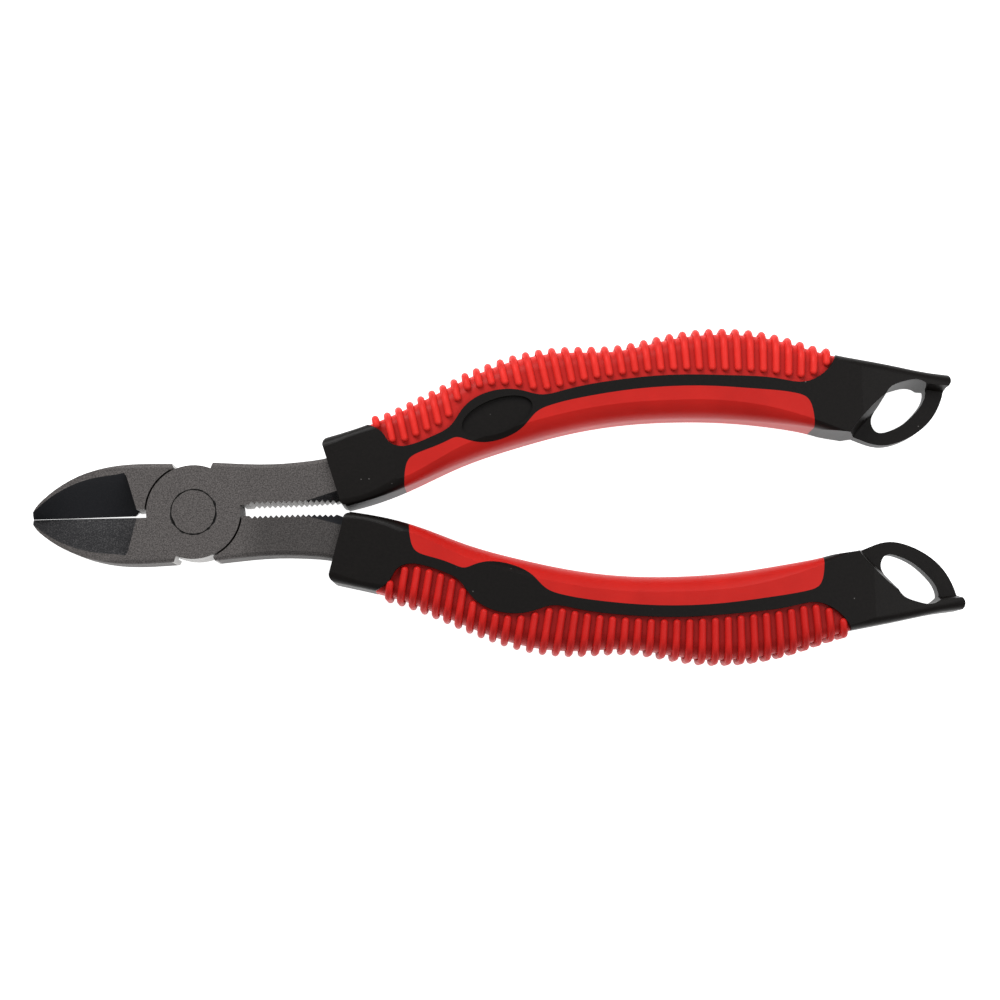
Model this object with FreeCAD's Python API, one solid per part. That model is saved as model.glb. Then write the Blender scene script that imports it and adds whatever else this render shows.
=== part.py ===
import FreeCAD, Part
import math
import os
from collections import namedtuple
from FreeCAD import Vector

# Diagonal cutting pliers, 175 mm long, with two-material grips.
#
# Frame: the origin is on the pivot axis, midway through the joint's thickness.
# +X runs from the joint to the handles, +Y to the handle of half A, +Z is the front.
# Half A is the lower jaw, the front disc of the lap joint and the +Y handle.
# Half B is the upper jaw, the rear disc and the -Y handle.
# The tool is stored closed. All lengths are in mm.

# ---- head -------------------------------------------------------------------
HALF_T = 4.8                 # half the thickness of the forged head
DISC_R = 8.75                # disc of each half in the lap joint
POCKET_R = 9.10              # round shoulder that the other half's disc turns in
LAP_GAP = 0.04               # running gap between the two discs
SHOULDER_DEG = 22.5          # each stop shoulder stands this far from the Y axis
SHOULDER_R = 9.95            # outer end of a shoulder
TIP_X = -30.7                # nose of the jaws
NOTCH_START_X = -5.0         # the relief notch behind the cutting edges runs from here
NOTCH_X = -11.0              # to here
NOTCH_SLOPE = 0.6            # length of the slope at its end
NOTCH_Y = 0.8                # half width of the relief notch
TIP_GAP = 0.03               # half the gap between the edges at the nose
TIP_GAP_X = -24.0            # the edges run together from here to the nose
REAR_GAP = 0.14              # half the gap between the edges at the notch
EDGE_LAND = 0.10             # flat left on a cutting edge
HEAD_FILLET = 0.8            # rounding of the head's outer edges

# Jaw outline from the nose to its shoulder, half width at each X.
JAW_OUTLINE = ((-30.15, 1.45), (-28.3, 3.4), (-24.3, 6.05), (-20.0, 7.9), (-15.0, 9.05), (-9.0, 9.35))

# The front and back of the jaws fall away towards the nose on long arcs.
NOSE_START_X = -12.0
FRONT_ARC_R = 55.0
BACK_ARC_R = 100.0

# Hollow front bevel: its half width on the front face at each X.
BEVEL_STATIONS = ((-33.0, 0.5), (-30.7, 0.9), (-28.5, 2.6), (-25.0, 4.75), (-21.0, 6.35), (-17.0, 7.15),
                  (-12.0, 7.9), (-8.0, 8.4))
BEVEL_STEPS = (-0.15, 0.25, 0.6, 1.0, 1.35)   # where the surface is set across its width
BEVEL_HOLLOW = 0.075         # depth of the hollow as a share of the bevel's height
# The bevel ends at a rounded corner and a slanting wall beside the joint; the rest of its region is open.
BEVEL_CORNER = ((-12.15, 6.7), (-12.5, 7.4), (-13.2, 8.0))
BEVEL_REGION = ((-16.0, 11.0), (-36.0, 11.0), (-36.0, -3.0), (-10.4, -3.0), (-10.4, 0.4))
EDGE_Z_REAR = -2.1           # height of the cutting edge at the notch
EDGE_Z_TIP = -1.2            # and at the nose
BACK_BEVEL_W = 2.4           # width of the small bevel on the back
BACK_BEVEL_OVERLAP = 1.0     # its cutter reaches this far past the cutting edge

# ---- pivot rivet ------------------------------------------------------------
RIVET_R = 3.2                # shank
RIVET_HEAD_R = 4.2           # both heads are flush
RIVET_HEAD_T = 1.6
RIVET_RUN = 0.05             # radial running gap in half B
RIVET_CHAMFER = 0.15

# ---- tangs and reins --------------------------------------------------------
TOOTH_FIRST_X = 10.88        # first root of the gripping teeth between the tangs
TOOTH_PITCH = 1.0
TOOTH_COUNT = 16
TOOTH_CREST_Y = 1.08
TOOTH_ROOT_Y = 1.58
TANG_START_X = 9.6           # where the tang's inner face starts beside the disc
REIN_OUTER = ((8.0, 8.85), (12.0, 8.6), (16.0, 8.55), (20.0, 8.75), (24.5, 9.25), (33.0, 11.9), (45.0, 16.6),
              (60.0, 21.2), (75.0, 23.0), (90.0, 24.3), (103.0, 24.0))
REIN_END_X = 105.0
REIN_INNER = ((103.0, 19.0), (90.0, 18.9), (75.0, 17.2), (60.0, 13.9), (45.0, 8.4), (36.0, 4.7), (28.6, 2.0))
REIN_PROFILE = ((26.8, 4.8), (34.0, 3.7), (106.0, 3.0))   # half thickness of the rein at each X
SCOOP_START = (20.2, 1.2)    # the tang's inner edge is bevelled from here
SCOOP_END = (28.0, 3.5)      # to here
SCOOP_DEPTH = 3.4            # depth of that bevel at its deep end

# ---- grips ------------------------------------------------------------------
GRIP_T = 7.6                 # largest half thickness, before the flat faces are cut
GRIP_EDGE_R = 5.0            # largest radius of the grip's long edges
FACE_Z = 7.2                 # flat black faces and finger pad faces
RIB_BASE_Z = 6.1             # face of the ribbed pad between its ribs
CORE_Z = 4.9                 # half thickness of the black core under the pads
CORE_INSET_OUTER = 2.6       # thickness of the ribbed pad
CORE_INSET_INNER = 2.3       # thickness of the finger pad
CORE_X = (34.5, 120.0)
CORE_EDGE_R = 1.5
# X, inner edge, outer edge, half thickness before the flat faces are cut, inner and outer edge radius
GRIP_STATIONS = ((22.0, 0.6, 12.55, 6.1, 1.3, 1.3),
                 (30.0, 0.75, 14.65, 6.5, 1.3, 1.3),
                 (36.0, 2.2, 16.5, 7.0, 1.8, 1.8),
                 (42.0, 4.25, 18.95, 7.5, 3.2, 2.8),
                 (50.0, 7.5, 22.7, 7.6, 4.6, 3.2),
                 (60.0, 10.6, 26.45, 7.6, 5.0, 3.2),
                 (70.0, 13.0, 27.85, 7.6, 5.0, 3.2),
                 (80.0, 14.4, 27.85, 7.6, 5.0, 3.2),
                 (90.0, 14.75, 29.7, 7.6, 5.0, 3.2),
                 (100.0, 14.3, 30.35, 7.6, 5.0, 3.2),
                 (110.0, 13.1, 28.8, 7.6, 4.0, 2.8),
                 (119.0, 11.2, 26.0, 7.5, 2.2, 2.0),
                 (125.0, 8.9, 24.75, 7.2, 1.7, 1.7),
                 (131.0, 7.8, 23.6, 6.8, 1.5, 1.5),
                 (138.0, 7.4, 22.25, 6.3, 1.5, 1.5),
                 (146.0, 7.4, 20.7, 5.8, 1.5, 1.5))
# Edge of the ribbed pad on the face, from the collar to the tail.
RIBBED_EDGE = ((32.6, 15.7), (34.4, 14.8), (35.9, 13.6), (37.0, 11.9), (39.0, 10.95), (42.0, 11.3), (45.5, 12.6),
               (48.5, 14.3), (50.9, 17.5), (53.9, 19.7), (58.5, 20.8), (62.2, 20.4), (65.1, 19.6), (70.0, 20.3),
               (78.0, 21.65), (90.0, 22.45), (102.0, 21.95), (110.0, 21.05), (114.6, 20.5), (116.6, 21.2),
               (120.6, 26.0))
# Edge of the finger pad on the face, from the collar to the tail.
FINGER_EDGE = ((39.6, 2.9), (39.9, 6.6), (40.7, 8.5), (42.4, 9.5), (44.8, 10.3), (47.8, 11.5), (49.6, 12.1),
               (51.4, 11.6), (54.2, 11.05), (58.5, 11.8), (62.2, 13.9), (64.6, 16.4), (67.4, 17.6), (74.0, 18.95),
               (82.0, 19.95), (90.0, 20.35), (98.0, 20.1), (106.0, 19.3), (112.4, 18.4), (114.8, 17.4),
               (115.7, 15.3), (116.0, 11.6))
BELOW_Y = -6.0               # plan regions that are open on the inner side reach to here
ABOVE_Y = 45.0               # and those that are open on the outer side to here
COLLAR_CORNER_OUTER = ((26.2, 13.65), (25.05, 13.2), (24.6, 12.0))
COLLAR_CORNER_INNER = ((27.5, 2.0), (27.8, 1.1), (28.7, 0.75))
EAR_T = 3.8                  # thickness of the hanging ear
EAR_ROOT = (113.0, 12.25)    # the inner edge runs straight from here to the ear
EAR_OUTLINE = ((121.9, 11.1), (124.2, 10.4), (126.8, 9.4), (129.2, 9.05), (132.0, 9.6), (135.4, 11.25),
               (138.2, 13.65), (140.1, 16.7), (141.0, 19.5))
TAIL_TIP = ((140.2, 22.4), (141.3, 22.0), (141.75, 21.0), (141.0, 19.5))
# Rim of the scoop that leaves the ear standing: it follows the outer side of the hole.
SCOOP_RIM = ((121.7, 9.0), (122.6, 11.7), (124.9, 14.4), (127.3, 16.9), (130.0, 18.9), (132.5, 20.0), (135.0, 20.5),
             (138.0, 20.3), (141.0, 20.0), (145.0, 19.8))
SCOOP_SLOPE = (1.1, -1.0)    # the scoop's foot stands this far from its rim
HANG_HOLE = ((127.3, 12.6), (128.3, 11.5), (130.6, 11.8), (133.3, 13.2), (135.8, 15.5), (137.3, 17.8),
             (137.4, 19.7), (135.8, 20.8), (132.9, 20.5), (130.2, 19.3), (128.5, 16.4))
OVAL_CENTRE = (57.2, 15.8)   # recessed oval on the front of each grip
OVAL_RADII = (6.9, 3.2)
OVAL_TILT_DEG = 18.5
OVAL_DEPTH = 0.9
MOUTH_Z = 5.15               # the collar's mouth stands clear of the tang
MOUTH_X = (23.0, 28.4)
MOUTH_Y = (4.4, 9.9)

# ---- ribs -------------------------------------------------------------------
RIB_COUNT = 37
RIB_R = 0.68
RIB_LIFT = 0.40              # height of a rib's centre line over the pad
RIB_CLOSE_COUNT = 10         # this many gaps between ribs at the collar are a little closer
RIB_CLOSE_SHARE = 0.265      # and take up this share of the row
RIB_LEAN = ((66.0, 11.0), (119.0, -5.0))   # lean of the ribs in degrees at each X
RIB_BEND_R = 3.0             # the ribs bend over the pad's edge at this radius
RIB_SHORTEST = 0.05          # straight part left on the face by the shortest rib

# No two mouldings are alike: each grip is pushed on to its own depth (seat), and its collar and its tail (splay)
# stand a little further in or out. Its first and last rib stand at their own X (rib_span), and its ribs stop at
# their own distance from the pad's edge at each X (rib_gap).
Grip = namedtuple("Grip", "seat collar splay rib_span rib_gap")
GRIP_A = Grip(seat=-0.3, collar=-0.4, splay=-0.8, rib_span=(34.6, 118.9),
              rib_gap=((34.5, 0.8), (36.4, 1.1), (40.0, 1.8), (47.0, 2.2), (50.5, 3.0), (53.5, 2.0), (57.0, 1.5)))
GRIP_B = Grip(seat=0.3, collar=0.4, splay=0.8, rib_span=(35.5, 119.2),
              rib_gap=((36.0, 1.1),))
COLLAR_SHIFT = ((30.0, 1.0), (44.0, 0.0))    # share of the collar's shift at each X
SPLAY_SHIFT = ((112.0, 0.0), (142.0, 1.0))   # share of the splay at each X


# ---- plan curves and prisms ---------------------------------------------------
def polar(radius, degrees):
    """A plan point at this radius and angle from the pivot."""
    return (radius * math.cos(math.radians(degrees)), radius * math.sin(math.radians(degrees)))


def looked_up(table, x):
    """The value at this X, on straight lines between the table's rows and level beyond its ends."""
    if x <= table[0][0]:
        return table[0][1]
    for (low_x, low), (high_x, high) in zip(table, table[1:]):
        if x <= high_x:
            return low + (high - low) * (x - low_x) / (high_x - low_x)
    return table[-1][1]


def spline(points, z=0.0):
    """A smooth edge through plan points."""
    curve = Part.BSplineCurve()
    curve.interpolate([Vector(x, y, z) for x, y in points])
    return curve.toShape()


def spline_loop(points):
    """A smooth closed edge through plan points."""
    curve = Part.BSplineCurve()
    curve.interpolate(Points=[Vector(x, y, 0) for x, y in points], PeriodicFlag=True)
    return curve.toShape()


def lines(points, z=0.0):
    """Straight edges from each plan point to the next."""
    spots = [Vector(x, y, z) for x, y in points]
    return [Part.LineSegment(a, b).toShape() for a, b in zip(spots, spots[1:])]


def arc(points, z=0.0):
    """An arc through three plan points."""
    return Part.Arc(*[Vector(x, y, z) for x, y in points]).toShape()


def prism(edges, low, high):
    """The closed plan outline, drawn at z = 0, extruded from low to high."""
    face = Part.Face(Part.Wire(Part.sortEdges(edges)[0]))
    face.translate(Vector(0, 0, low))
    return face.extrude(Vector(0, 0, high - low))


def disc(radius, low, high):
    """A round bar on the pivot axis."""
    return Part.makeCylinder(radius, high - low, Vector(0, 0, low))


def flipped(shape):
    """The shape turned half a turn about X, as half B is to half A."""
    turned = shape.copy()
    turned.rotate(Vector(0, 0, 0), Vector(1, 0, 0), 180)
    return turned


def mirrored_to_back(shape):
    """The shape mirrored from front to back."""
    return shape.mirror(Vector(0, 0, 0), Vector(0, 0, 1))


def rounded_outer_edges(solid, outer_edge, radius):
    """The prism with its front and back edges rounded along its outer curve."""
    chosen = []
    for edge in solid.Edges:
        middle = edge.valueAt((edge.FirstParameter + edge.LastParameter) / 2)
        flat = abs(edge.BoundBox.ZLength) < 1e-6
        on_curve = outer_edge.distToShape(Part.Vertex(middle.x, middle.y, 0))[0] < 1e-3
        if flat and on_curve:
            chosen.append(edge)
    return solid.makeFillet(radius, chosen)


# ---- steel halves -------------------------------------------------------------
def jaw_blank():
    """The lower jaw of half A at full thickness."""
    shoulder = polar(SHOULDER_R, 270 - SHOULDER_DEG)
    inner = polar(RIVET_R, 270 - SHOULDER_DEG)
    nose = (TIP_X, -TIP_GAP)
    outer = spline([nose] + [(x, -y) for x, y in JAW_OUTLINE] + [shoulder])
    notch = [(NOTCH_START_X, -NOTCH_Y), (NOTCH_X, -NOTCH_Y), (NOTCH_X - NOTCH_SLOPE, -REAR_GAP)]
    inside = [shoulder, inner] + notch + [(TIP_GAP_X, -TIP_GAP), nose]
    return rounded_outer_edges(prism([outer] + lines(inside), -HALF_T, HALF_T), outer, HEAD_FILLET)


def tang_blank():
    """The tang and rein of half A at full thickness, with the gripping teeth."""
    shoulder = polar(SHOULDER_R, 90 - SHOULDER_DEG)
    inner = polar(RIVET_R, 90 - SHOULDER_DEG)
    outer = spline((shoulder,) + REIN_OUTER)
    end = arc((REIN_OUTER[-1], (REIN_END_X, (REIN_OUTER[-1][1] + REIN_INNER[0][1]) / 2), REIN_INNER[0]))
    rein_inner = spline(REIN_INNER)
    teeth = [(TANG_START_X, TOOTH_CREST_Y), (TOOTH_FIRST_X - TOOTH_PITCH / 2, TOOTH_CREST_Y)]
    for number in range(TOOTH_COUNT):
        root_x = TOOTH_FIRST_X + number * TOOTH_PITCH
        teeth.append((root_x, TOOTH_ROOT_Y))
        teeth.append((root_x + TOOTH_PITCH / 2, TOOTH_CREST_Y))
    inside = [REIN_INNER[-1]] + teeth[::-1] + [(DISC_R * 0.7, TOOTH_CREST_Y), inner, shoulder]
    blank = prism([outer, end, rein_inner] + lines(inside), -HALF_T, HALF_T)
    return rounded_outer_edges(blank, outer, HEAD_FILLET)


def half_blank():
    """Half A before its bevels: lower jaw, front disc and +Y tang."""
    overrun = 1.0
    body = jaw_blank().fuse(tang_blank())
    body = body.cut(disc(POCKET_R, -HALF_T - overrun, LAP_GAP / 2))
    return body.fuse(disc(DISC_R, LAP_GAP / 2, HALF_T)).removeSplitter()


def nose_drop(x, radius):
    """How far a face has fallen at this X on its nose arc."""
    return radius - math.sqrt(radius ** 2 - (x - NOSE_START_X) ** 2)


def side_profile():
    """The head and rein seen from the side, as a block to intersect with a half."""
    nose_x = -34.0
    half_width = 45.0
    middle_x = (nose_x + NOSE_START_X) / 2

    def nose_arc(sign, radius):
        spots = [Vector(x, 0, sign * (HALF_T - nose_drop(x, radius))) for x in (NOSE_START_X, middle_x, nose_x)]
        return Part.Arc(*spots).toShape(), spots[0], spots[-1]

    front, front_start, front_nose = nose_arc(1, FRONT_ARC_R)
    back, back_start, back_nose = nose_arc(-1, BACK_ARC_R)
    top = [front_start] + [Vector(x, 0, z) for x, z in REIN_PROFILE]
    bottom = [Vector(x, 0, -z) for x, z in REIN_PROFILE[::-1]] + [back_start]
    spots = top + bottom
    edges = [Part.LineSegment(a, b).toShape() for a, b in zip(spots, spots[1:])]
    edges += [front, back, Part.LineSegment(front_nose, back_nose).toShape()]
    face = Part.Face(Part.Wire(Part.sortEdges(edges)[0]))
    face.translate(Vector(0, -half_width, 0))
    return face.extrude(Vector(0, 2 * half_width, 0))


def edge_height(x):
    """Height of the cutting edges at this X."""
    share = (NOTCH_X - x) / (NOTCH_X - TIP_X)
    return EDGE_Z_REAR + share * (EDGE_Z_TIP - EDGE_Z_REAR)


def front_bevel(side):
    """What is cut away over the hollow front bevel of the jaw on this side of Y = 0."""
    rows = []
    for x, width in BEVEL_STATIONS:
        low = edge_height(x) + EDGE_LAND / 2
        rise = HALF_T - nose_drop(min(x, NOSE_START_X), FRONT_ARC_R) - low
        row = []
        for step in BEVEL_STEPS:
            height = low + rise * (step - 4 * BEVEL_HOLLOW * step * (1 - step))
            row.append(Vector(x, side * step * width, height))
        rows.append(row)
    surface = Part.BSplineSurface()
    surface.interpolate(rows)
    above = surface.toShape().extrude(Vector(0, 0, 3 * HALF_T))
    corner = [(x, side * y) for x, y in BEVEL_CORNER]
    rest = [(x, side * y) for x, y in BEVEL_REGION]
    region = [arc(corner)] + lines([corner[-1]] + rest + [corner[0]])
    return above.common(prism(region, -3 * HALF_T, 3 * HALF_T))


def back_bevel(side):
    """What is cut away behind the small back bevel of the jaw on this side of Y = 0."""
    ends = []
    for x in (TIP_X - 2.0, NOTCH_X):
        edge = edge_height(x) - EDGE_LAND / 2
        slope = (HALF_T + edge) / BACK_BEVEL_W
        reach = 1.5 * BACK_BEVEL_W
        inner = Vector(x, -side * BACK_BEVEL_OVERLAP, edge + slope * BACK_BEVEL_OVERLAP)
        outer = Vector(x, side * reach, edge - slope * reach)
        ends.append((inner, outer, Vector(x, -side * BACK_BEVEL_OVERLAP, outer.z)))
    sections = [Part.makePolygon(list(end) + [end[0]]) for end in ends]
    return Part.makeLoft(sections, True, True)


def tang_scoop(side, face):
    """What is cut away at the bevel of a tang's inner edge, on the front or the back face."""
    start = Vector(SCOOP_START[0], side * SCOOP_START[1], face * HALF_T)
    end = Vector(SCOOP_END[0], side * SCOOP_END[1], face * HALF_T)
    deep = Vector(SCOOP_END[0], side * SCOOP_START[1], face * (HALF_T - SCOOP_DEPTH))
    along = end - start
    down = (deep - end) * 2
    before = start - along
    sheet = Part.makePolygon([before, end, end + down, before + down, before])
    return Part.Face(sheet).extrude(Vector(0, -side * SCOOP_DEPTH, face * HALF_T))


def steel_half(blank, jaw_side, running_gap):
    """A finished steel half, from its blank, the side of its jaw and the gap round the rivet."""
    body = blank.common(side_profile())
    body = body.cut(front_bevel(jaw_side))
    body = body.cut(back_bevel(jaw_side))
    for face in (1, -1):
        body = body.cut(tang_scoop(-jaw_side, face))
    overrun = 1.0
    layer = -jaw_side
    bore = disc(RIVET_R + running_gap, -HALF_T - overrun, HALF_T + overrun)
    seat_start = HALF_T - RIVET_HEAD_T
    seat = disc(RIVET_HEAD_R + running_gap, seat_start, HALF_T + overrun)
    if layer < 0:
        seat = flipped(seat)
    return body.cut(bore.fuse(seat))


def pivot_rivet():
    """The rivet, flush in front and behind."""
    floor = HALF_T - RIVET_HEAD_T
    head = disc(RIVET_HEAD_R, floor, HALF_T)
    rim = [edge for edge in head.Edges if edge.BoundBox.ZMin > HALF_T - 1e-6]
    front = head.makeChamfer(RIVET_CHAMFER, rim)
    back = flipped(front)
    back = back.cut(disc(RIVET_HEAD_R + 1.0, -floor - LAP_GAP, 0))
    return disc(RIVET_R, -floor - LAP_GAP, floor).fuse([front, back]).removeSplitter()


# ---- grips --------------------------------------------------------------------
def placed(points, grip):
    """Plan points of the shared grip drawing, moved to where this grip has them."""
    moved = []
    for x, y in points:
        shift = grip.collar * looked_up(COLLAR_SHIFT, x) + grip.splay * looked_up(SPLAY_SHIFT, x)
        moved.append((x + grip.seat, y + shift))
    return moved


def section(x, low_y, high_y, half_t, inner_r, outer_r):
    """A rectangle across the grip at this X, rounded by one radius on each side."""
    corners = ((high_y - outer_r, half_t - outer_r, outer_r, 0),
               (low_y + inner_r, half_t - inner_r, inner_r, 90),
               (low_y + inner_r, inner_r - half_t, inner_r, 180),
               (high_y - outer_r, outer_r - half_t, outer_r, 270))
    edges = []
    spots = []
    for y, z, radius, start in corners:
        arc_spots = []
        for degrees in (start, start + 45, start + 90):
            turn = math.radians(degrees)
            arc_spots.append(Vector(x, y + radius * math.cos(turn), z + radius * math.sin(turn)))
        edges.append(Part.Arc(*arc_spots).toShape())
        spots.append(arc_spots)
    joined = []
    for number, edge in enumerate(edges):
        following = spots[(number + 1) % len(spots)]
        joined.append(edge)
        joined.append(Part.LineSegment(spots[number][-1], following[0]).toShape())
    return Part.Wire(joined)


def grip_loft(grip, drop=0.0, inset_inner=0.0, inset_outer=0.0, largest_radius=GRIP_EDGE_R):
    """The grip between its inner and outer edges, or a thinner and narrower body inside it."""
    sections = []
    for x, inner_y, outer_y, half_t, inner_r, outer_r in GRIP_STATIONS:
        (here, low_y), (_, high_y) = placed(((x, inner_y), (x, outer_y)), grip)
        sections.append(section(here, low_y + inset_inner, high_y - inset_outer, half_t - drop,
                                min(inner_r, largest_radius), min(outer_r, largest_radius)))
    return Part.makeLoft(sections, True, False)


def grip_outline(grip):
    """Plan limits of the whole grip: the collar's mouth, the ear and the tip of the tail."""
    outer_corner = placed(COLLAR_CORNER_OUTER, grip)
    inner_corner = placed(COLLAR_CORNER_INNER, grip)
    (root,) = placed((EAR_ROOT,), grip)
    ear = placed(EAR_OUTLINE, grip)
    tip = placed(TAIL_TIP, grip)
    edges = [arc(outer_corner), arc(inner_corner), spline(ear), spline(tip)]
    edges += lines([outer_corner[-1], inner_corner[0]])
    edges += lines([inner_corner[-1], (inner_corner[-1][0] + 1, BELOW_Y), (root[0], BELOW_Y), root, ear[0]])
    edges += lines([tip[0], (tip[0][0], ABOVE_Y), (outer_corner[0][0], ABOVE_Y), outer_corner[0]])
    return prism(edges, -2 * FACE_Z, 2 * FACE_Z)


def ribbed_region(grip):
    """Plan region of the ribbed pad, open beyond the grip's outer edge."""
    edge = placed(RIBBED_EDGE, grip)
    outside = [edge[-1], (edge[-1][0], ABOVE_Y), (edge[0][0], ABOVE_Y), edge[0]]
    return prism([spline(edge)] + lines(outside), -2 * FACE_Z, 2 * FACE_Z)


def finger_region(grip):
    """Plan region of the finger pad, open beyond the grip's inner edge."""
    edge = placed(FINGER_EDGE, grip)
    outside = [edge[-1], (edge[-1][0], BELOW_Y), (edge[0][0], BELOW_Y), edge[0]]
    return prism([spline(edge)] + lines(outside), -2 * FACE_Z, 2 * FACE_Z)


def tail_scoop(grip):
    """What is cut away in front of the ear, down to its face, with a sloping wall."""
    far_x = 152.0
    wires = []
    for z, shift in ((FACE_Z + 1.0, (0.0, 0.0)), (EAR_T / 2, SCOOP_SLOPE)):
        rim = [(x + shift[0], y + shift[1]) for x, y in placed(SCOOP_RIM, grip)]
        outside = [rim[-1], (far_x, rim[-1][1]), (far_x, BELOW_Y), (rim[0][0], BELOW_Y), rim[0]]
        wires.append(Part.Wire([spline(rim, z)] + lines(outside, z)))
    return Part.makeLoft(wires, True, True)


def oval_recess(grip):
    """The shallow oval sunk into the front of the grip."""
    (x, y), = placed((OVAL_CENTRE,), grip)
    ellipse = Part.Ellipse(Vector(0, 0, 0), OVAL_RADII[0], OVAL_RADII[1]).toShape()
    face = Part.Face(Part.Wire([ellipse]))
    face.rotate(Vector(0, 0, 0), Vector(0, 0, 1), OVAL_TILT_DEG)
    face.translate(Vector(x, y, FACE_Z - OVAL_DEPTH))
    return face.extrude(Vector(0, 0, 2 * OVAL_DEPTH))


def slab(half_t):
    """A wide block of this half thickness."""
    reach = 400.0
    return Part.makeBox(reach, reach, 2 * half_t, Vector(-reach / 2, -reach / 2, -half_t))


def grip_core(grip):
    """The black core under both pads, from inside the collar to inside the tail."""
    reach = 90.0
    core = grip_loft(grip, GRIP_T - CORE_Z, CORE_INSET_INNER, CORE_INSET_OUTER, CORE_EDGE_R)
    start = CORE_X[0] + grip.seat
    return core.common(Part.makeBox(CORE_X[1] - CORE_X[0], reach, reach, Vector(start, -reach / 2, -reach / 2)))


def grip_body(grip):
    """The whole grip with flat faces, before it is shared out between the black and the red pieces."""
    return grip_loft(grip).common(slab(FACE_Z)).common(grip_outline(grip))


def grip_sleeve(grip, body, core, steel):
    """The black piece: collar, bands and oval on both faces, core, tail and hanging ear."""
    scoop = tail_scoop(grip)
    sleeve = body.cut([ribbed_region(grip), finger_region(grip)])
    sleeve = sleeve.cut([scoop, mirrored_to_back(scoop)])
    sleeve = sleeve.fuse(core)
    hole = prism([spline_loop(placed(HANG_HOLE, grip))], -2 * FACE_Z, 2 * FACE_Z)
    mouth = Part.makeBox(MOUTH_X[1] - MOUTH_X[0], MOUTH_Y[1] - MOUTH_Y[0], 2 * MOUTH_Z,
                         Vector(MOUTH_X[0], MOUTH_Y[0], -MOUTH_Z))
    return sleeve.cut([hole, oval_recess(grip), mouth]).cut(steel)


def finger_pad(grip, body, core):
    """The smooth red pad on the inner side of the grip."""
    return body.common(finger_region(grip)).cut(core)


def rib(spot, grip, boundary):
    """One round rib that wraps from the front face over the outer edge to the back face."""
    lean_deg = looked_up(RIB_LEAN, spot.x)
    inward = Vector(math.sin(math.radians(lean_deg)), -math.cos(math.radians(lean_deg)), 0)
    ray = Part.LineSegment(spot, spot + inward * 20.0).toShape()
    meeting = ray.distToShape(boundary)[1][0][0]
    reach = (meeting - spot).Length - looked_up(grip.rib_gap, spot.x)
    centre_z = RIB_BASE_Z + RIB_LIFT
    bend = min(RIB_BEND_R, reach - RIB_SHORTEST) + RIB_LIFT
    diagonal = bend * (1 - math.sqrt(0.5))

    def at(outward, z):
        return spot - inward * outward + Vector(0, 0, z)

    front_end = at(-reach, centre_z)
    back_end = at(-reach, -centre_z)
    bend_spots = ((RIB_LIFT - bend, centre_z),
                  (RIB_LIFT - diagonal, centre_z - diagonal),
                  (RIB_LIFT, centre_z - bend))
    front_arc = [at(outward, z) for outward, z in bend_spots]
    back_arc = [at(outward, -z) for outward, z in bend_spots[::-1]]
    path = Part.Wire([Part.LineSegment(front_end, front_arc[0]).toShape(),
                      Part.Arc(*front_arc).toShape(),
                      Part.LineSegment(front_arc[2], back_arc[0]).toShape(),
                      Part.Arc(*back_arc).toShape(),
                      Part.LineSegment(back_arc[2], back_end).toShape()])
    ring = Part.Wire([Part.makeCircle(RIB_R, front_end, inward)])
    bar = path.makePipeShell([ring], True, False)
    return bar.fuse([Part.makeSphere(RIB_R, front_end), Part.makeSphere(RIB_R, back_end)])


def outer_edge_between(grip, low_x, high_x):
    """The grip's outer edge as a plan curve, cut to these two X positions."""
    points = placed([(station[0], station[2]) for station in GRIP_STATIONS], grip)
    whole = spline(points)
    reach = 90.0
    window = Part.makeBox(high_x - low_x, reach, reach, Vector(low_x + grip.seat, -reach / 2, -reach / 2))
    return whole.common(window).Edges[0]


def rib_share(number):
    """Where along the row this rib stands, as a share of the row's length."""
    if number <= RIB_CLOSE_COUNT:
        return RIB_CLOSE_SHARE * number / RIB_CLOSE_COUNT
    rest = (number - RIB_CLOSE_COUNT) / (RIB_COUNT - 1 - RIB_CLOSE_COUNT)
    return RIB_CLOSE_SHARE + (1 - RIB_CLOSE_SHARE) * rest


def ribbed_pad(grip, core):
    """The red pad on the outer side of the grip, with its ribs."""
    base = grip_loft(grip, GRIP_T - RIB_BASE_Z).common(ribbed_region(grip)).cut(core)
    boundary = spline(placed(RIBBED_EDGE, grip))
    outer = outer_edge_between(grip, *grip.rib_span)
    ribs = []
    for number in range(RIB_COUNT):
        spot = outer.valueAt(outer.getParameterByLength(rib_share(number) * outer.Length))
        ribs.append(rib(spot, grip, boundary))
    return base.fuse(ribs)


# ---- the tool -------------------------------------------------------------------
def build():
    """Every node of the tool, by name."""
    blank = half_blank()
    steel_a = steel_half(blank, -1, 0.0)
    steel_b = steel_half(flipped(blank), 1, RIVET_RUN)
    nodes = {"jaw_lever_a": steel_a, "jaw_lever_b": steel_b, "pivot_rivet": pivot_rivet()}
    for name, grip in (("a", GRIP_A), ("b", GRIP_B)):
        body = grip_body(grip)
        core = grip_core(grip)
        steel = steel_a if name == "a" else flipped(steel_b)
        pieces = {"grip_sleeve_" + name: grip_sleeve(grip, body, core, steel),
                  "ribbed_pad_" + name: ribbed_pad(grip, core),
                  "finger_pad_" + name: finger_pad(grip, body, core)}
        for node, shape in pieces.items():
            nodes[node] = shape if name == "a" else flipped(shape)
    return nodes


os.makedirs("parts", exist_ok=True)
for node, shape in build().items():
    print(node, "valid", shape.isValid(), "solids", len(shape.Solids), "volume", round(shape.Volume, 1))
    shape.exportStep("parts/" + node + ".step")
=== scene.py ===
import math

import bpy
from mathutils import Matrix, Vector


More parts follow.
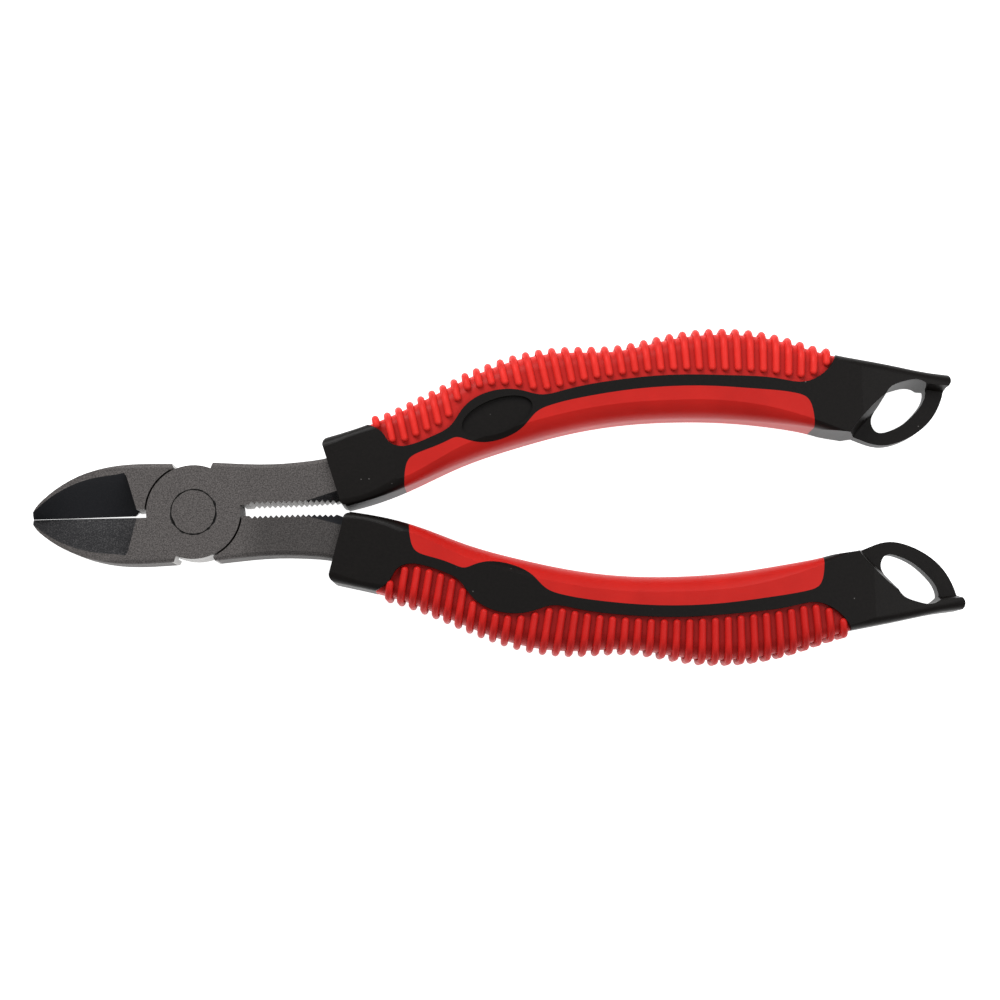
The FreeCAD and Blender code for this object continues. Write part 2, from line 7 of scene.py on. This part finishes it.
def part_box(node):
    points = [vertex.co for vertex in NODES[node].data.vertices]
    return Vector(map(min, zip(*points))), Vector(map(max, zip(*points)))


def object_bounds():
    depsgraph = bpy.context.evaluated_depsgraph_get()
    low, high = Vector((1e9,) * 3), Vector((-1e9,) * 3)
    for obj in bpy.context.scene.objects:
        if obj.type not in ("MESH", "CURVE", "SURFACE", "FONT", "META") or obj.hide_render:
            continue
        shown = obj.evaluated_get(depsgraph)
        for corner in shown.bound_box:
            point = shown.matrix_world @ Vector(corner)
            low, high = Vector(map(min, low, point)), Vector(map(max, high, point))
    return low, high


# Looks for the diagonal cutting pliers. Everything is in metres, in the frame of the CAD model:
# +X from the joint to the handles, +Y to the handle of half A, +Z the front, origin on the pivot axis.

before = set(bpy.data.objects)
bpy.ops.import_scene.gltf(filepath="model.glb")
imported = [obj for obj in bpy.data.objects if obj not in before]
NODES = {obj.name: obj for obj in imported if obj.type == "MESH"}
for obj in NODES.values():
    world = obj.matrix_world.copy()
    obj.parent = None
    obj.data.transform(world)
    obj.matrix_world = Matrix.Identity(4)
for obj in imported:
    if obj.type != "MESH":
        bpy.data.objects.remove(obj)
cad_low, cad_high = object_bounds()

# ---- sizes and places in metres -------------------------------------------------
RIVET_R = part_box("pivot_rivet")[1][0]        # radius of the rivet's heads
FLOOR_Z = cad_low.z

# A pair is where a mask is 0 and where it is 1, and the mask fades between the two.
CRACK_WIDEST = 0.00024                       # most that the crack round the rivet spreads to each side
CRACK_SIDE = (0.00010, 0.00005)              # fade of the crack's sides
TANG_PAINTED_SHADE_X = (0.008, 0.013)                # a tang's painted shade starts beside the disc
BEVEL_X = (-0.0101, -0.0103)                 # the jaws' hollow bevels lie ahead of the notch
BEVEL_REAR_X = -0.0105                       # their outline narrows from here
BEVEL_NOSE_X = -0.0310                       # to here
BEVEL_REAR_Y = 0.0087                        # its half width at the rear
BEVEL_NARROWING = 0.0079                     # how much less that is at the nose
BEVEL_POWER = 3.0                            # how late the narrowing sets in
BEVEL_SIDE = (0.0, -0.0002)                  # fade of that outline
TANG_BEVEL_X = (0.0190, 0.0192)              # the tangs' bevelled inner edges start here
TANG_BEVEL_Y = (0.0062, 0.0060)
TEETH_X = (0.0088, 0.0090)                   # the teeth start here
TEETH_Y = (0.0024, 0.0022)
SLOT_REAR_X = (-0.0040, -0.0042)             # bare walls between the cutting edges, from the notch
SLOT_FRONT_X = (-0.0250, -0.0230)            # to here
SLOT_Y = (0.0012, 0.0011)
SHOULDER_X = (0.0042, 0.0041)                # bare walls at the stop shoulders
SHOULDER_Y = (0.0074, 0.0076)
RIB_FLOOR_Z = (0.0070, 0.0062)               # floors between the ribs lie below the crests

# The same for the parts of a face's normal, without their signs.
LEANS = (0.18, 0.22)                         # along Y, for a bevel
IS_NO_WALL = (0.10, 0.14)                    # along Z, for a bevel
IS_WALL = (0.30, 0.20)                       # along Z
IS_FLOOR = (0.5, 0.9)                        # along Z, for a floor between ribs


# ---- small node helpers ---------------------------------------------------------
class Shade:
    """A new material and short ways to add nodes to it."""

    def __init__(self, name):
        self.material = bpy.data.materials.new(name)
        self.material.use_nodes = True
        self.tree = self.material.node_tree
        self.shader = self.tree.nodes["Principled BSDF"]
        self.place = self.tree.nodes.new("ShaderNodeTexCoord")

    def join(self, socket, value):
        if isinstance(value, bpy.types.NodeSocket):
            self.tree.links.new(value, socket)
        else:
            socket.default_value = value

    def maths(self, operation, first, second=0.0, third=0.0):
        node = self.tree.nodes.new("ShaderNodeMath")
        node.operation = operation
        for socket, value in zip(node.inputs, (first, second, third)):
            self.join(socket, value)
        return node.outputs[0]

    def size_of(self, value):
        """The value without its sign."""
        return self.maths("ABSOLUTE", value)

    def both(self, first, second):
        """1 where both masks are."""
        return self.maths("MULTIPLY", first, second)

    def either(self, first, second):
        """1 where one of the masks is."""
        return self.maths("MAXIMUM", first, second)

    def axes(self, vector):
        node = self.tree.nodes.new("ShaderNodeSeparateXYZ")
        self.join(node.inputs[0], vector)
        return node.outputs

    def step(self, value, low, high):
        """0 below low, 1 above high, straight between; low may be the larger."""
        node = self.tree.nodes.new("ShaderNodeMapRange")
        self.join(node.inputs["Value"], value)
        node.inputs["From Min"].default_value = low
        node.inputs["From Max"].default_value = high
        return node.outputs["Result"]

    def noise(self, scale, detail, roughness):
        node = self.tree.nodes.new("ShaderNodeTexNoise")
        self.join(node.inputs["Vector"], self.place.outputs["Object"])
        node.inputs["Scale"].default_value = scale
        node.inputs["Detail"].default_value = detail
        node.inputs["Roughness"].default_value = roughness
        return node.outputs["Fac"]

    def specks(self, scale, size):
        """Small round dots, one in each cell; size is a share of the cell."""
        node = self.tree.nodes.new("ShaderNodeTexVoronoi")
        self.join(node.inputs["Vector"], self.place.outputs["Object"])
        node.inputs["Scale"].default_value = scale
        return self.step(node.outputs["Distance"], size, size * 0.5), node.outputs["Color"]

    def mix(self, share, first, second):
        node = self.tree.nodes.new("ShaderNodeMix")
        node.data_type = "RGBA"
        self.join(node.inputs[0], share)
        self.join(node.inputs[6], first)
        self.join(node.inputs[7], second)
        return node.outputs[2]

    def bump(self, height, distance, strength):
        node = self.tree.nodes.new("ShaderNodeBump")
        node.inputs["Strength"].default_value = strength
        node.inputs["Distance"].default_value = distance
        self.join(node.inputs["Height"], height)
        self.join(self.shader.inputs["Normal"], node.outputs["Normal"])

    def set(self, name, value):
        self.join(self.shader.inputs[name], value)


# ---- materials ------------------------------------------------------------------
BLASTED_DARK = (0.040, 0.036, 0.035, 1)
BLASTED_LIGHT = (0.130, 0.119, 0.115, 1)
BEVELS_LOWER_LIT = ((0.028, 0.028, 0.030, 1), (0.125, 0.122, 0.123, 1))    # half A's bevels face the light: painted lighter as lit, so their flecks show
BEVELS_UPPER_SHADED = ((0.027, 0.028, 0.032, 1), (0.040, 0.040, 0.043, 1))    # half B's face away: smooth blue-black, painted darker as shaded
BARE_STEEL = (0.34, 0.33, 0.32, 1)
# black of the crack round the rivet, also mixed into a tang as painted shade
CRACK_AND_PAINTED_SHADE_BLACK = (0.004, 0.004, 0.004, 1)
BLASTED_ROUGHNESS = 0.58
BEVEL_SMOOTHER = 0.18                        # how much less rough the bevels and bare walls are
TANG_PAINTED_SHADES = {"a": 0.05, "b": 0.38}         # share of black painted into a tang as shade; B's is painted darker

PLASTIC_TONES = ((0.0024, 0.0017, 0.0014, 1), (0.0044, 0.0033, 0.0028, 1))
DUST_GREY = (0.12, 0.115, 0.11, 1)

PAD_TONES = ((0.43, 0.010, 0.007, 1), (0.50, 0.013, 0.009, 1))
PAD_ROUGHNESS = 0.40
PAD_COAT = 0.05
# half A's ribs are painted lighter as lit, half B's darker as painted shade
RIB_TONES_LIT_AND_SHADED = {"a": ((0.62, 0.022, 0.016, 1), (0.72, 0.030, 0.023, 1)),
             "b": ((0.44, 0.010, 0.008, 1), (0.53, 0.014, 0.011, 1))}
# painted shade on the floors between the ribs, darker on half B
GROOVE_PAINTED_SHADES = {"a": (0.46, 0.014, 0.011, 1), "b": (0.29, 0.006, 0.005, 1)}
RIB_ROUGHNESS = 0.44
RIB_COAT = 0.0


def rivet_crack(s, x, y):
    """The crack in the finish round the rivet's heads, of uneven width."""
    squares = s.maths("ADD", s.maths("MULTIPLY", x, x), s.maths("MULTIPLY", y, y))
    off_rim = s.size_of(s.maths("SUBTRACT", s.maths("SQRT", squares), RIVET_R))
    uneven = s.step(s.noise(scale=420.0, detail=2.0, roughness=0.6), low=0.42, high=0.66)
    spread = s.maths("MULTIPLY", uneven, CRACK_WIDEST)
    return s.step(s.maths("SUBTRACT", off_rim, spread), *CRACK_SIDE)


def bevel_faces(s, x, from_axis, lean, upright):
    """The hollow bevels of a jaw and the bevelled inner edge of a tang."""
    # on a jaw these are the only leaning faces ahead of the notch and inside the outline
    jaw = s.both(s.both(s.step(x, *BEVEL_X), s.step(lean, *LEANS)), s.step(upright, *IS_NO_WALL))
    towards_nose = s.maths("POWER", s.step(x, BEVEL_REAR_X, BEVEL_NOSE_X), BEVEL_POWER)
    half_width = s.maths("MULTIPLY_ADD", towards_nose, -BEVEL_NARROWING, BEVEL_REAR_Y)
    jaw = s.both(jaw, s.step(s.maths("SUBTRACT", from_axis, half_width), *BEVEL_SIDE))
    tang = s.both(s.both(s.step(x, *TANG_BEVEL_X), s.step(lean, *LEANS)), s.step(upright, *IS_NO_WALL))
    tang = s.both(tang, s.step(from_axis, *TANG_BEVEL_Y))
    return s.either(jaw, tang)


def bare_walls(s, x, from_axis, upright):
    """Walls of bare steel: at the teeth, between the cutting edges and at the stop shoulders."""
    teeth = s.both(s.step(from_axis, *TEETH_Y), s.step(x, *TEETH_X))
    slot = s.both(s.both(s.step(from_axis, *SLOT_Y), s.step(x, *SLOT_REAR_X)), s.step(x, *SLOT_FRONT_X))
    shoulder = s.both(s.step(s.size_of(x), *SHOULDER_X), s.step(from_axis, *SHOULDER_Y))
    return s.both(s.step(upright, *IS_WALL), s.either(s.either(teeth, slot), shoulder))


def blasted_steel(name, bevels=None, tang_painted_shade=0.0):
    """Sand-blasted dark steel.

    A jaw lever also has bevels in their own two tones, painted lighter on half A as lit and darker
    on half B as shaded, a tang mixed towards black by its given share as painted shade, and bare
    steel on its cut inner walls.
    """
    s = Shade(name)
    grain = s.noise(scale=4200.0, detail=3.0, roughness=0.8)
    colour = s.mix(s.step(grain, low=0.38, high=0.64), BLASTED_DARK, BLASTED_LIGHT)
    rough = BLASTED_ROUGHNESS
    relief = grain
    x, y = s.axes(s.place.outputs["Object"])[:2]
    colour = s.mix(rivet_crack(s, x, y), colour, CRACK_AND_PAINTED_SHADE_BLACK)
    if bevels:
        # painted shade: a tang mixed towards black from beside the disc
        shade = s.maths("MULTIPLY", s.step(x, *TANG_PAINTED_SHADE_X), tang_painted_shade)
        colour = s.mix(shade, colour, CRACK_AND_PAINTED_SHADE_BLACK)
        normal_y, normal_z = s.axes(s.place.outputs["Normal"])[1:]
        from_axis = s.size_of(y)
        upright = s.size_of(normal_z)
        smooth = bevel_faces(s, x, from_axis, s.size_of(normal_y), upright)
        bare = bare_walls(s, x, from_axis, upright)
        # the bevels' tones: lighter on half A as painted light, darker on half B as painted shade
        polished = s.mix(s.step(grain, low=0.50, high=0.66), *bevels)
        colour = s.mix(smooth, colour, polished)
        colour = s.mix(bare, colour, BARE_STEEL)
        plain = s.either(smooth, bare)
        rough = s.maths("MULTIPLY_ADD", plain, -BEVEL_SMOOTHER, BLASTED_ROUGHNESS)
        relief = s.maths("MULTIPLY", grain, s.maths("SUBTRACT", 1.0, plain))
    s.set("Base Color", colour)
    s.set("Metallic", 0.35)
    s.set("Specular IOR Level", 0.22)
    s.set("Roughness", rough)
    s.bump(relief, distance=0.00004, strength=0.7)
    return s.material


def hard_black(name):
    """Matt black plastic with a fine grain and a few pale specks of dust."""
    s = Shade(name)
    grain = s.noise(scale=1800.0, detail=3.0, roughness=0.6)
    dots, pick = s.specks(scale=700.0, size=0.10)
    few = s.step(s.axes(pick)[0], low=0.93, high=0.96)
    base = s.mix(s.step(grain, low=0.3, high=0.7), *PLASTIC_TONES)
    s.set("Base Color", s.mix(s.both(dots, few), base, DUST_GREY))
    s.set("Roughness", 0.42)
    s.set("Specular IOR Level", 0.14)
    s.bump(grain, distance=0.00003, strength=0.5)
    return s.material


def soft_red(name, tones, roughness, coat, groove_shade=None):
    """Soft red moulding with faint clouds between two tones.

    One given a shade for its grooves has that painted shade on the floors between its ribs.
    """
    s = Shade(name)
    clouds = s.noise(scale=120.0, detail=4.0, roughness=0.55)
    grain = s.noise(scale=1500.0, detail=2.0, roughness=0.6)
    colour = s.mix(s.step(clouds, low=0.3, high=0.7), *tones)
    if groove_shade:
        height = s.size_of(s.axes(s.place.outputs["Object"])[2])
        upright = s.size_of(s.axes(s.place.outputs["Normal"])[2])
        floor = s.both(s.step(height, *RIB_FLOOR_Z), s.step(upright, *IS_FLOOR))
        # painted shade on the floors between the ribs
        colour = s.mix(floor, colour, groove_shade)
    s.set("Base Color", colour)
    s.set("Roughness", roughness)
    s.set("Specular IOR Level", 0.13)
    s.set("Coat Weight", coat)
    s.set("Coat Roughness", 0.35)
    s.set("Subsurface Weight", 0.12)
    s.set("Subsurface Scale", 0.0008)
    s.set("Subsurface Radius", (1.0, 0.12, 0.08))
    s.bump(grain, distance=0.00002, strength=0.4)
    return s.material


def dress(node, material):
    """Gives a CAD node its material."""
    NODES[node].data.materials.clear()
    NODES[node].data.materials.append(material)


BLACK = hard_black("hard_black")
PAD_RED = soft_red("soft_red_smooth", PAD_TONES, PAD_ROUGHNESS, PAD_COAT)
dress("pivot_rivet", blasted_steel("rivet_steel"))
# half A's bevels and ribs are painted as lit, half B's as shaded
for letter, bevels in (("a", BEVELS_LOWER_LIT), ("b", BEVELS_UPPER_SHADED)):
    dress("jaw_lever_" + letter, blasted_steel("blasted_steel_" + letter, bevels, TANG_PAINTED_SHADES[letter]))
    dress("grip_sleeve_" + letter, BLACK)
    ribbed = soft_red("soft_red_ribbed_" + letter, RIB_TONES_LIT_AND_SHADED[letter], RIB_ROUGHNESS, RIB_COAT,
                      GROOVE_PAINTED_SHADES[letter])
    dress("ribbed_pad_" + letter, ribbed)
    dress("finger_pad_" + letter, PAD_RED)


# ---- stage, light and camera ----------------------------------------------------
# The tool lies turned by a small angle on the floor, off the middle of the view.
TURN = math.radians(1.8466)
PIVOT_SHIFT = Vector((-0.05688, -0.00268))   # the pivot from the middle of the view
VIEW_DISTANCE = 0.450
VIEW_TILT = math.radians(5.5)                # the camera leans this far from straight above
VIEW_WIDTH = 0.1875                          # what the picture's width shows at the tool's mid-plane
SENSOR_WIDTH = 36.0                          # of the camera, in mm
CLIP_NEAR = 0.01
CLIP_FAR = 20.0
FLOOR_SIZE = 20.0
FLOOR_X = 0.05                               # the floor's middle, under the grips
WHITE = (1.0, 1.0, 1.0, 1)
FLOOR_WHITE = (0.6, 0.6, 0.6, 1)
FLOOR_GLOW = 1.0                             # makes the floor as white as the photo's background
WORLD_STRENGTH = 0.50


def view_point(across, up, height):
    """A point given from the view's middle in the picture's own directions, in the frame of the tool."""
    x = across - PIVOT_SHIFT.x
    y = up - PIVOT_SHIFT.y
    along = x * math.cos(TURN) + y * math.sin(TURN)
    aside = y * math.cos(TURN) - x * math.sin(TURN)
    return Vector((along, aside, height))


def look(obj, place, aim, up):
    """Puts a camera or a light at a place, facing aim."""
    back = (place - aim).normalized()
    right = up.cross(back).normalized()
    turn = Matrix((right, back.cross(right), back)).transposed()
    obj.matrix_world = Matrix.Translation(place) @ turn.to_4x4()


def face_middle(obj, place):
    """Puts a camera or a light at a place, facing the view's middle, with the picture's up as its own."""
    middle = view_point(0, 0, 0)
    look(obj, place, middle, view_point(0, 1, 0) - middle)


def plain_floor():
    """A wide pale floor under the grips, lit from within like a light table."""
    bpy.ops.mesh.primitive_plane_add(size=FLOOR_SIZE, location=(FLOOR_X, 0, FLOOR_Z))
    floor = bpy.context.object
    floor.name = "floor"
    s = Shade("floor_white")
    s.set("Base Color", FLOOR_WHITE)
    s.set("Roughness", 0.9)
    s.set("Specular IOR Level", 0.0)
    s.set("Emission Color", WHITE)
    s.set("Emission Strength", FLOOR_GLOW)
    floor.data.materials.append(s.material)


def softbox(name, across, up, height, size, watts):
    """A square soft light facing the tool."""
    lamp = bpy.data.lights.new(name, "AREA")
    lamp.shape = "SQUARE"
    lamp.size = size
    lamp.energy = watts
    box = bpy.data.objects.new(name, lamp)
    bpy.context.scene.collection.objects.link(box)
    face_middle(box, view_point(across, up, height))


def camera():
    """The camera of the main picture."""
    lens = bpy.data.cameras.new("camera")
    lens.sensor_width = SENSOR_WIDTH
    lens.lens = lens.sensor_width * VIEW_DISTANCE / VIEW_WIDTH
    lens.clip_start = CLIP_NEAR
    lens.clip_end = CLIP_FAR
    body = bpy.data.objects.new("camera", lens)
    bpy.context.scene.collection.objects.link(body)
    place = view_point(0, -VIEW_DISTANCE * math.sin(VIEW_TILT), VIEW_DISTANCE * math.cos(VIEW_TILT))
    face_middle(body, place)
    bpy.context.scene.camera = body


def surroundings():
    """Even pale light from all round."""
    world = bpy.data.worlds.new("studio")
    world.use_nodes = True
    background = world.node_tree.nodes["Background"]
    background.inputs["Color"].default_value = WHITE
    background.inputs["Strength"].default_value = WORLD_STRENGTH
    bpy.context.scene.world = world


plain_floor()
surroundings()
softbox("key_light", across=-0.30, up=0.60, height=0.65, size=0.5, watts=7.0)
softbox("fill_light", across=0.55, up=0.05, height=0.80, size=0.6, watts=3.0)
camera()
bpy.context.scene.view_settings.view_transform = "Standard"
